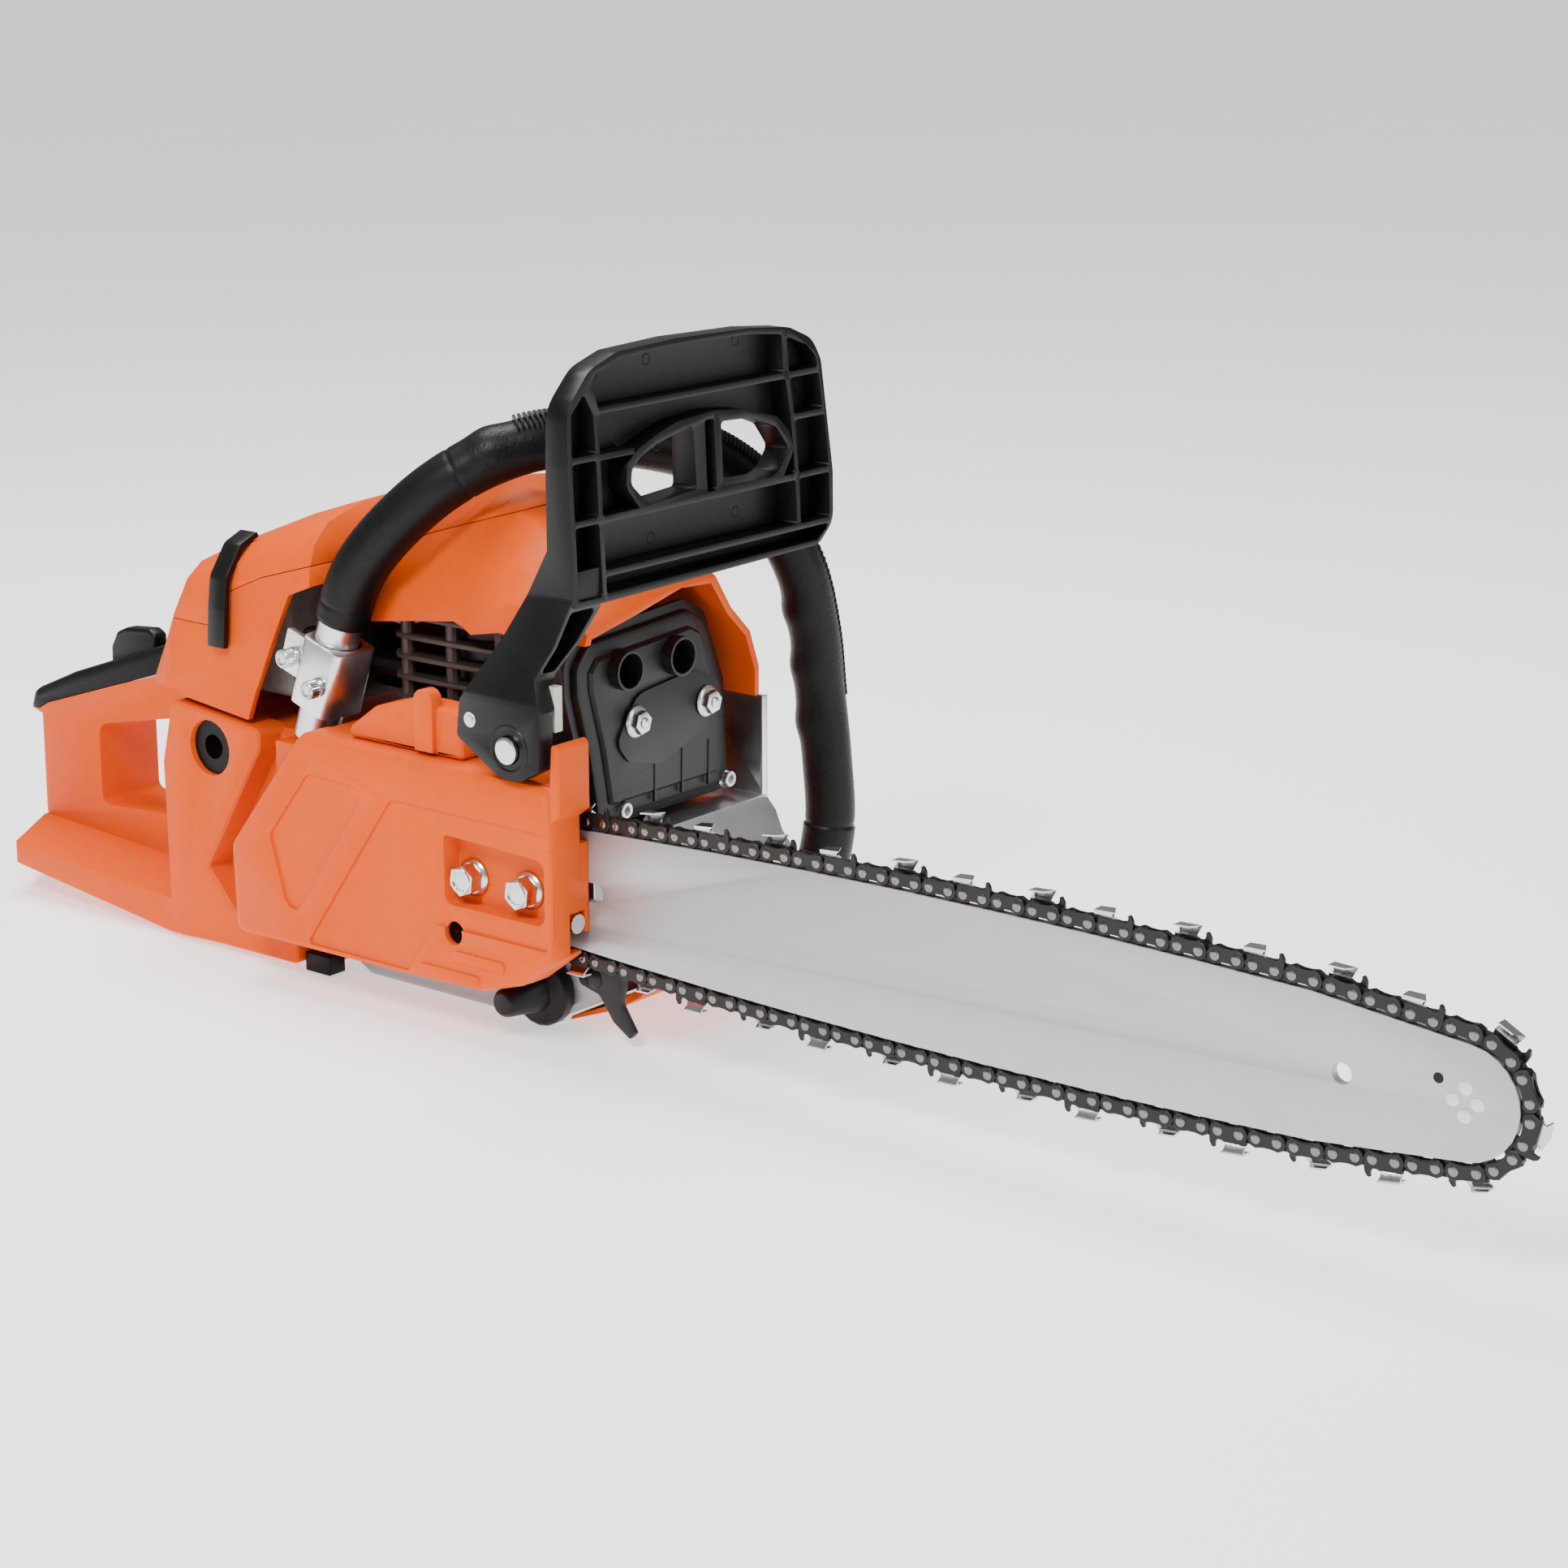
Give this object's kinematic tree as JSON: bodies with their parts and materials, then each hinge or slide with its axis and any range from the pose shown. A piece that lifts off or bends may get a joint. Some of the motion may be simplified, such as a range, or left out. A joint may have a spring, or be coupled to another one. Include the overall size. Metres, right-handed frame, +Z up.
{
  "type": "chainsaw",
  "caption": "Petrol chainsaw with a guide bar and chain, looped front handle, closed rear handle, front hand guard, muffler and clutch cover.",
  "frame": {"origin": "on the flat base under the crankshaft, in the plane of the cylinder and handles", "axes": "+X forward along the guide bar, +Y to the operator's left, +Z up"},
  "size_m": [0.8753, 0.2333, 0.308],
  "materials": {
    "orange": "matt with a fine moulded grain",
    "black": "satin with a fine moulded grain",
    "rubber": "matt moulded rubber",
    "bar_steel": "satin, with brighter ground rails",
    "chain_steel": "dark links, bright rivets and chromed cutting edges",
    "steel": "machined",
    "zinc": "bright zinc plate",
    "aluminium": "as cast or machined",
    "tube": "bright drawn tube",
    "sheet": "bright rolled sheet",
    "cast_grey": "grey die casting",
    "fins": "dark coated casting",
    "black_metal": "black heat-resistant paint",
    "filter": "filter cloth on a frame",
    "pale": "satin"
  },
  "bodies": {
    "chassis": {"guide_bar": "bar_steel", "saw_chain": "chain_steel", "crankcase": "cast_grey", "cylinder": "fins", "spark_plug": "steel", "plug_boot": "rubber", "oil_pump": "aluminium", "ignition_coil": "black", "starter_cover": "orange", "recoil_spring": "steel", "clutch_cover": "orange", "brake_cover": "orange", "brake_band": "steel", "bar_stud_rear": "zinc", "bar_nut_rear": "zinc", "bar_stud_front": "zinc", "bar_nut_front": "zinc", "inner_guide_plate": "steel", "tension_screw": "zinc", "spike_bumper": "black_metal", "bottom_shield": "orange", "rear_housing": "orange", "rear_grip": "rubber", "buffer_rear": "rubber", "buffer_lower": "rubber", "rubber_foot": "rubber", "carburettor": "aluminium", "intake_boot": "rubber", "air_filter": "filter", "engine_cover": "orange", "filter_cover": "orange", "muffler": "black_metal", "muffler_bolt_right": "zinc", "muffler_bolt_left": "zinc", "heat_shield": "sheet", "front_handle": "tube", "handle_sleeve": "rubber", "handle_clamp": "sheet", "clamp_screw_rear": "zinc", "clamp_screw_front": "zinc", "guard_pivot": "zinc"},
    "crank_train": {"crankshaft": "steel", "flywheel": "aluminium", "clutch_hub": "steel"},
    "clutch_drum_body": {"clutch_drum": "steel"},
    "nose_sprocket_body": {"nose_sprocket": "steel"},
    "piston_body": {"piston": "aluminium", "connecting_rod": "steel"},
    "hand_guard_body": {"hand_guard": "black", "brake_link": "pale"},
    "trigger_body": {"throttle_trigger": "black"},
    "lockout_body": {"throttle_lockout": "black"},
    "choke_body": {"choke_knob": "black"},
    "stop_switch_body": {"stop_switch": "black"},
    "latch_right_body": {"filter_latch_right": "black"},
    "latch_left_body": {"filter_latch_left": "black"},
    "oil_cap_body": {"oil_cap": "black"},
    "fuel_cap_body": {"fuel_cap": "black"},
    "starter_grip_body": {"starter_grip": "black"},
    "starter_pulley_body": {"starter_pulley": "black"}
  },
  "joints": [
    {"name": "crank_spin", "type": "hinge", "parent": "chassis", "child": "crank_train", "pos_m": [0, 0, 0.074], "axis": [0, 1, 0], "continuous": true},
    {"name": "drum_spin", "type": "hinge", "parent": "chassis", "child": "clutch_drum_body", "pos_m": [0, -0.075, 0.074], "axis": [0, 1, 0], "continuous": true},
    {"name": "nose_spin", "type": "hinge", "parent": "chassis", "child": "nose_sprocket_body", "pos_m": [0.5233, -0.062, 0.074], "axis": [0, 1, 0], "continuous": true},
    {"name": "piston_slide", "type": "slide", "parent": "chassis", "child": "piston_body", "axis": [0, 0, 1], "range_m": [-0.034, 0]},
    {"name": "guard_hinge", "type": "hinge", "parent": "chassis", "child": "hand_guard_body", "pos_m": [0.086, -0.09, 0.14], "axis": [0, 1, 0], "range_deg": [0, 15]},
    {"name": "trigger_pull", "type": "hinge", "parent": "chassis", "child": "trigger_body", "pos_m": [-0.18, 0, 0.106], "axis": [0, 1, 0], "range_deg": [0, 12], "stiffness_Nm_per_rad": 0.05, "springref_deg": -17.19},
    {"name": "lockout_press", "type": "hinge", "parent": "chassis", "child": "lockout_body", "pos_m": [-0.238, 0, 0.12], "axis": [0, -1, 0], "range_deg": [0, 10], "stiffness_Nm_per_rad": 0.05, "springref_deg": -17.19},
    {"name": "choke_pull", "type": "slide", "parent": "chassis", "child": "choke_body", "axis": [-1, 0, 0], "range_m": [0, 0.012]},
    {"name": "stop_slide", "type": "slide", "parent": "chassis", "child": "stop_switch_body", "axis": [1, 0, 0], "range_m": [0, 0.0024]},
    {"name": "latch_right_open", "type": "hinge", "parent": "chassis", "child": "latch_right_body", "pos_m": [-0.1225, -0.0645, 0.15], "axis": [1, 0, 0], "range_deg": [0, 60]},
    {"name": "latch_left_open", "type": "hinge", "parent": "chassis", "child": "latch_left_body", "pos_m": [-0.1225, 0.0645, 0.15], "axis": [-1, 0, 0], "range_deg": [0, 60]},
    {"name": "oil_cap_turn", "type": "hinge", "parent": "chassis", "child": "oil_cap_body", "pos_m": [0.064, -0.05, 0.0175], "axis": [0, 1, 0], "range_deg": [0, 90]},
    {"name": "fuel_cap_turn", "type": "hinge", "parent": "chassis", "child": "fuel_cap_body", "pos_m": [-0.116, 0.065, 0.062], "axis": [0, 1, 0], "range_deg": [0, 90]},
    {"name": "grip_pull", "type": "slide", "parent": "chassis", "child": "starter_grip_body", "axis": [0, 0.6, 0.8], "range_m": [0, 0.7], "stiffness_N_per_m": 5, "springref_m": -0.4},
    {"name": "pulley_spin", "type": "hinge", "parent": "chassis", "child": "starter_pulley_body", "pos_m": [0, 0.07, 0.074], "axis": [0, 1, 0], "range_deg": [0, 1300]}
  ],
  "couplings": [
    {"joint": "nose_spin", "follows": "drum_spin", "ratio": 0.63636},
    {"joint": "pulley_spin", "follows": "grip_pull", "rad_per_m": 32.26}
  ]
}
